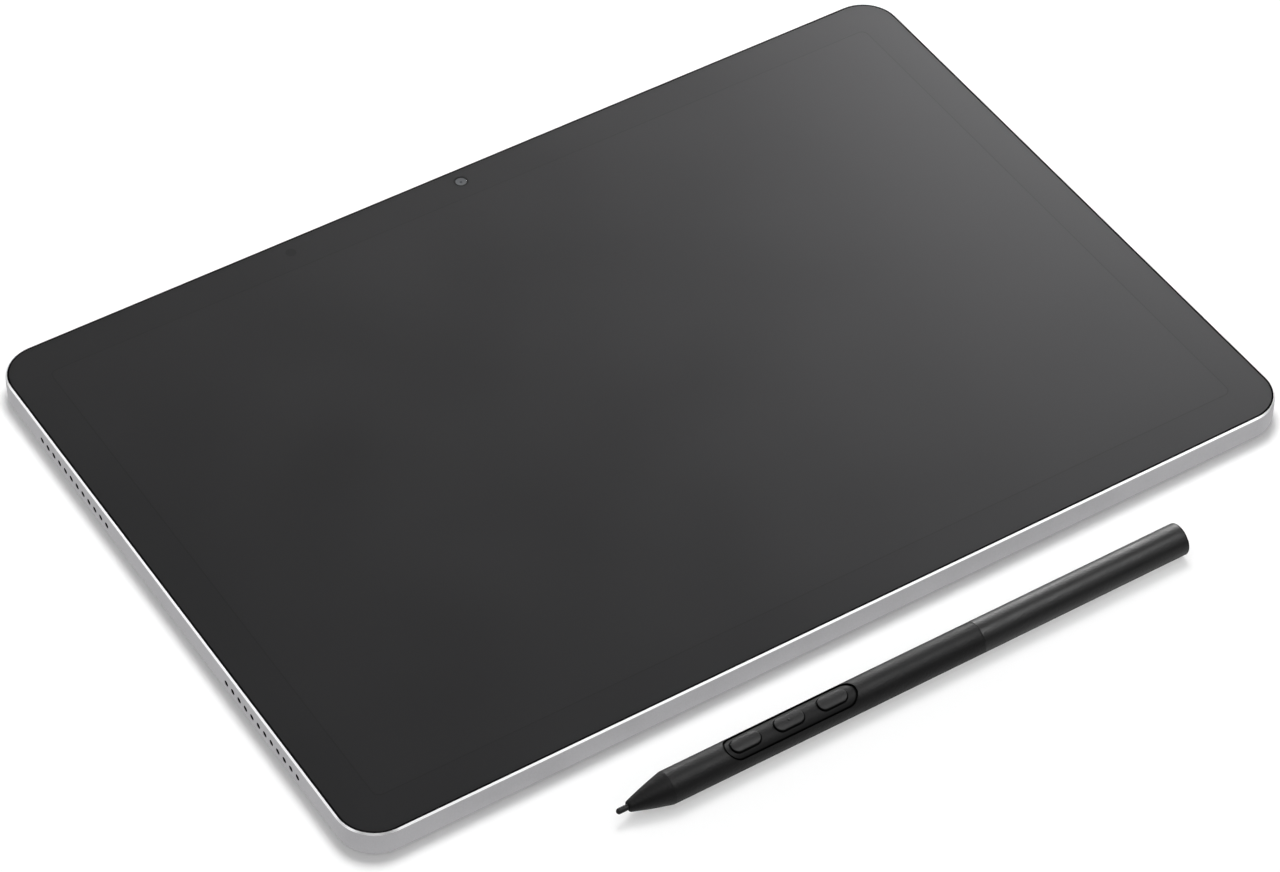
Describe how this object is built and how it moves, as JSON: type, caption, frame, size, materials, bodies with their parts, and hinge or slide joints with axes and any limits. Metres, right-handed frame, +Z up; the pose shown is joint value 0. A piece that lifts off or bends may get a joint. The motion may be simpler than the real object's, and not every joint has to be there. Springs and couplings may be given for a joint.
{
  "type": "graphics tablet with screen",
  "caption": "Slim pen-display tablet: blasted aluminium tray, etched black glass, edge sound holes and keys, lying with its round battery-free pen.",
  "frame": {"origin": "middle of the footprint of tablet and pen together, on the desk that both lie on", "axes": "+X along the tablet's long edges and the pen, towards the socket's short edge; +Y from the pen to the edge with the front camera; +Z up out of the screen"},
  "size_m": [0.266, 0.2062, 0.0086],
  "materials": {
    "anodised_aluminium": "fine bead-blasted and clear anodised, with a bright cut chamfer",
    "etched_black_glass": "etched anti-glare, printed black behind",
    "black_bumper": "matte black moulding",
    "black_adhesive": "matte foam tape",
    "panel_glass": "dark polariser film",
    "light_guide": "white light guide",
    "circuit_board": "solder mask",
    "steel_sheet": "thin rolled sheet",
    "battery_pouch": "dark laminate pouch",
    "flat_cable": "polyimide film",
    "black_plastic": "fine moulded texture",
    "silver_plastic": "painted to match the metal",
    "lens_glass": "coated lens",
    "grey_rubber": "matte moulded rubber",
    "pen_soft_touch": "soft-touch coating",
    "pen_satin": "satin moulded",
    "pen_key_plastic": "satin moulded",
    "nib_plastic": "acetal",
    "white_plastic": "acetal",
    "ferrite": "sintered ferrite",
    "copper_wire": "enamelled wire",
    "ceramic": "ceramic disc stack",
    "brass_rod": "turned rod"
  },
  "bodies": {
    "tablet": {"rear_housing": "anodised_aluminium", "rear_camera_ring": "anodised_aluminium", "front_glass": "etched_black_glass", "glass_bumper": "black_bumper", "glass_adhesive": "black_adhesive", "front_camera_foam": "black_adhesive", "display_panel": "panel_glass", "backlight_unit": "light_guide", "main_board": "circuit_board", "battery_board": "circuit_board", "usb_board": "circuit_board", "light_sensor": "circuit_board", "side_key_board": "circuit_board", "shield_plate": "steel_sheet", "processor_can": "steel_sheet", "radio_can": "steel_sheet", "board_screws": "steel_sheet", "usb_socket": "steel_sheet", "speaker_meshes": "steel_sheet", "microphones": "steel_sheet", "side_key_switches": "steel_sheet", "battery_left": "battery_pouch", "battery_right": "battery_pouch", "battery_cable": "flat_cable", "display_cable": "flat_cable", "sensor_cable": "flat_cable", "wifi_aerial": "flat_cable", "usb_tongue": "black_plastic", "left_speakers": "black_plastic", "right_speakers": "black_plastic", "front_camera": "black_plastic", "rear_camera": "black_plastic", "aerial_window": "silver_plastic", "front_camera_lens": "lens_glass", "rear_camera_window": "lens_glass", "foot_front": "grey_rubber", "foot_rear": "grey_rubber", "pen_sensor_board": "circuit_board"},
    "pen": {"pen_board": "circuit_board", "pen_switches": "steel_sheet", "pen_joint_sleeve": "steel_sheet", "pen_chassis": "black_plastic", "pen_nose_cone": "pen_soft_touch", "pen_front_barrel": "pen_soft_touch", "pen_rear_barrel": "pen_satin", "pen_key_plate": "pen_satin", "pen_ferrite_core": "ferrite", "pen_coil": "copper_wire", "pen_pressure_sensor": "ceramic", "pen_balance_weight": "brass_rod"},
    "power_key": {"power_key": "anodised_aluminium"},
    "volume_key": {"volume_key": "anodised_aluminium"},
    "pen_nib": {"pen_nib": "nib_plastic", "pen_nib_holder": "white_plastic"},
    "pen_key_lower": {"pen_key_lower": "pen_key_plastic"},
    "pen_key_middle": {"pen_key_middle": "pen_key_plastic"},
    "pen_key_upper": {"pen_key_upper": "pen_key_plastic"}
  },
  "joints": [
    {"name": "power_press", "type": "slide", "parent": "tablet", "child": "power_key", "axis": [0, -1, 0], "range_m": [0, 0.0003], "stiffness_N_per_m": 4000, "springref_m": -0.0002},
    {"name": "volume_rock", "type": "hinge", "parent": "tablet", "child": "volume_key", "pos_m": [-0.078, 0.0997, 0.0038], "axis": [0, 0, 1], "range_deg": [-1.2, 1.2], "stiffness_Nm_per_rad": 0.6},
    {"name": "pen_lift", "type": "slide", "parent": "tablet", "child": "pen", "axis": [0, 0, 1], "range_m": [0, 0.15]},
    {"name": "nib_press", "type": "slide", "parent": "pen", "child": "pen_nib", "axis": [1, 0, 0], "range_m": [0, 0.0004], "stiffness_N_per_m": 5000, "springref_m": -0.00004},
    {"name": "pen_key_lower_press", "type": "slide", "parent": "pen", "child": "pen_key_lower", "axis": [0, 0.1564, -0.9877], "range_m": [0, 0.0003], "stiffness_N_per_m": 4000, "springref_m": -0.0002},
    {"name": "pen_key_middle_press", "type": "slide", "parent": "pen", "child": "pen_key_middle", "axis": [0, 0.1564, -0.9877], "range_m": [0, 0.0003], "stiffness_N_per_m": 4000, "springref_m": -0.0002},
    {"name": "pen_key_upper_press", "type": "slide", "parent": "pen", "child": "pen_key_upper", "axis": [0, 0.1564, -0.9877], "range_m": [0, 0.0003], "stiffness_N_per_m": 4000, "springref_m": -0.0002}
  ]
}
